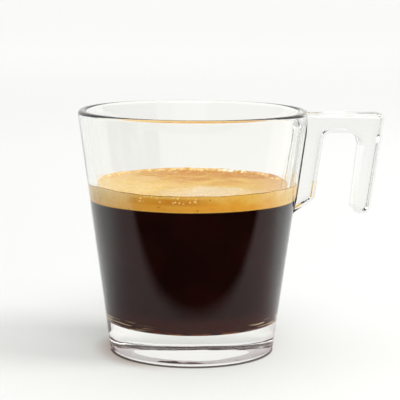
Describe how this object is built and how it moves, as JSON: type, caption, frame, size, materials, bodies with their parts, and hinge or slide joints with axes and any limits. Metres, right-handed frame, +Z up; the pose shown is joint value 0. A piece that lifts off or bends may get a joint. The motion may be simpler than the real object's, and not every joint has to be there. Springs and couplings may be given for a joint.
{
  "type": "double espresso in a glass cup",
  "caption": "Clear conical glass cup with a thick base and an open hooked handle, filled two thirds with dark coffee under a layer of golden crema.",
  "frame": {"origin": "centre of the cup's base, on the surface it stands on", "axes": "+Z up along the bowl's axis; +X from the bowl's axis towards the handle; +Y across the handle"},
  "size_m": [0.0805, 0.06, 0.0637],
  "materials": {
    "clear_glass": "clear pressed soda-lime glass, polished",
    "coffee": "very dark brown liquid, glossy; red-brown where it is thin",
    "crema": "golden foam of fine bubbles, softly glossy"
  },
  "bodies": {
    "root": {"glass": "clear_glass", "coffee": "coffee", "crema": "crema"}
  },
  "joints": []
}
